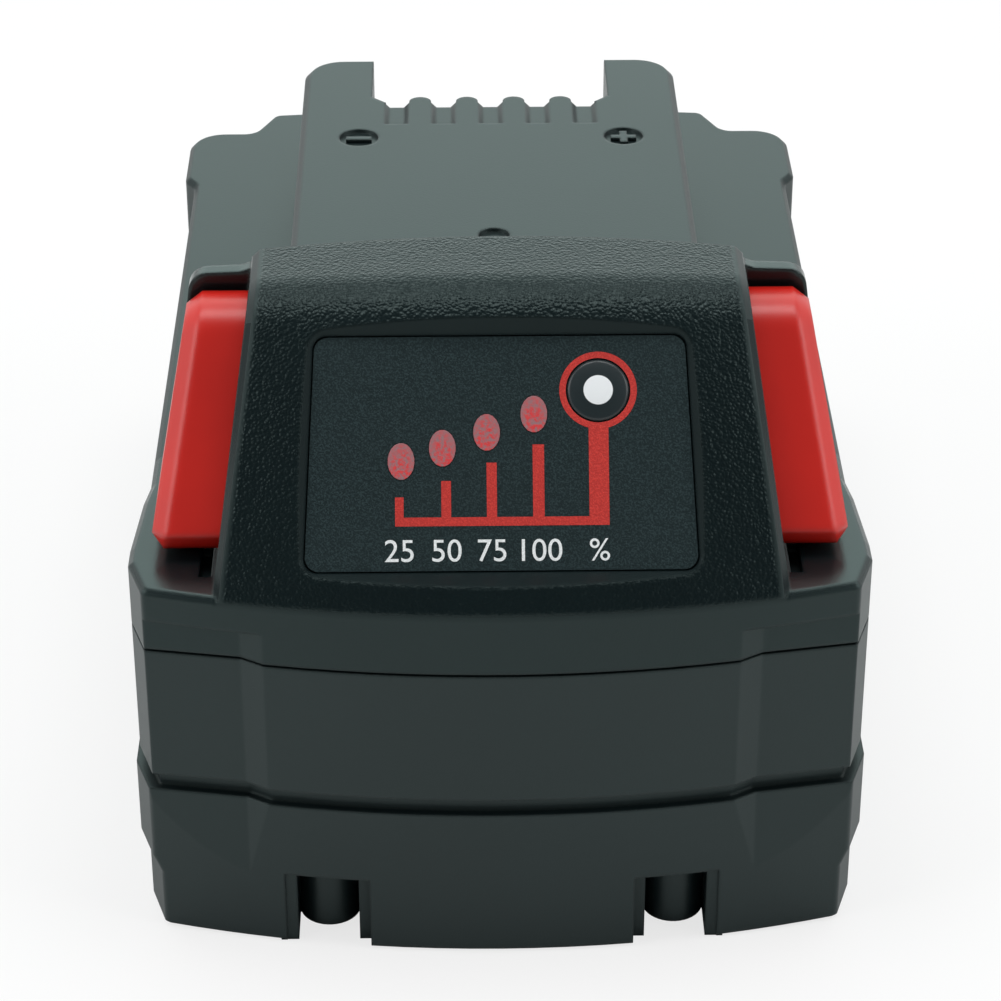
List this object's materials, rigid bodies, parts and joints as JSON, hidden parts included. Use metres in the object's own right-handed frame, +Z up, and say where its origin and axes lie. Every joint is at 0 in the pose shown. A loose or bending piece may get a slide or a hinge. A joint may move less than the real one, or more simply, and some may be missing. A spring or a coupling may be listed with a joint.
{
  "type": "power tool battery pack",
  "caption": "Slide-on tool battery pack: leaning charge gauge face, red release buttons on both sides, T-shaped rail with terminal slots, upper and lower shell.",
  "frame": {"origin": "middle of the base, on the surface that the pack stands on", "axes": "+X to the right seen from the gauge face, +Y from the gauge face to the terminals, +Z up"},
  "size_m": [0.081, 0.128, 0.0726],
  "materials": {
    "black_nylon": "moulded, leather-like texture on the upper case",
    "red_nylon": "satin",
    "zinc_steel": "zinc plated",
    "label_film": "fine grain, red and white print",
    "button_plastic": "satin with a white dot",
    "window_plastic": "clouded, pinkish",
    "circuit_board": "green solder mask",
    "nickel": "plain",
    "tinned_copper": "tin plated",
    "cell_can": "shrink sleeve on a steel can",
    "holder_plastic": "plain",
    "fish_paper": "pressed paper",
    "black_parts": "moulded",
    "white_parts": "moulded"
  },
  "bodies": {
    "case": {"board_connector": "white_parts", "case_screws": "zinc_steel", "cell_1": "cell_can", "cell_10": "cell_can", "cell_2": "cell_can", "cell_3": "cell_can", "cell_4": "cell_can", "cell_5": "cell_can", "cell_6": "cell_can", "cell_7": "cell_can", "cell_8": "cell_can", "cell_9": "cell_can", "cell_strip_1": "nickel", "cell_strip_2": "nickel", "cell_strip_3": "nickel", "cell_strip_4": "nickel", "cell_strip_5": "nickel", "cell_strip_6": "nickel", "gauge_board": "circuit_board", "gauge_label": "label_film", "gauge_leds": "white_parts", "gauge_ribbon": "black_parts", "gauge_switch": "black_parts", "gauge_window_1": "window_plastic", "gauge_window_2": "window_plastic", "gauge_window_3": "window_plastic", "gauge_window_4": "window_plastic", "left_cell_holder": "holder_plastic", "left_insulator": "fish_paper", "left_latch_spring": "zinc_steel", "lower_case": "black_nylon", "main_board": "circuit_board", "negative_lead": "nickel", "positive_lead": "nickel", "power_transistors": "black_parts", "right_cell_holder": "holder_plastic", "right_insulator": "fish_paper", "right_latch_spring": "zinc_steel", "terminal_1": "tinned_copper", "terminal_2": "tinned_copper", "terminal_3": "tinned_copper", "terminal_4": "tinned_copper", "terminal_5": "tinned_copper", "terminal_block": "black_parts", "top_case": "black_nylon"},
    "left_release": {"left_release_button": "red_nylon", "left_latch": "zinc_steel"},
    "right_release": {"right_release_button": "red_nylon", "right_latch": "zinc_steel"},
    "gauge_press": {"gauge_button": "button_plastic"}
  },
  "joints": [
    {"name": "left_release_slide", "type": "slide", "parent": "case", "child": "left_release", "axis": [1, 0, 0], "range_m": [0, 0.0036], "stiffness_N_per_m": 1200, "springref_m": -0.004, "deforming": ["left_latch_spring"]},
    {"name": "right_release_slide", "type": "slide", "parent": "case", "child": "right_release", "axis": [-1, 0, 0], "range_m": [0, 0.0036], "stiffness_N_per_m": 1200, "springref_m": -0.004, "deforming": ["right_latch_spring"]},
    {"name": "gauge_press_slide", "type": "slide", "parent": "case", "child": "gauge_press", "axis": [0, 0.809, -0.5878], "range_m": [0, 0.0005], "stiffness_N_per_m": 1500, "springref_m": -0.0005}
  ]
}
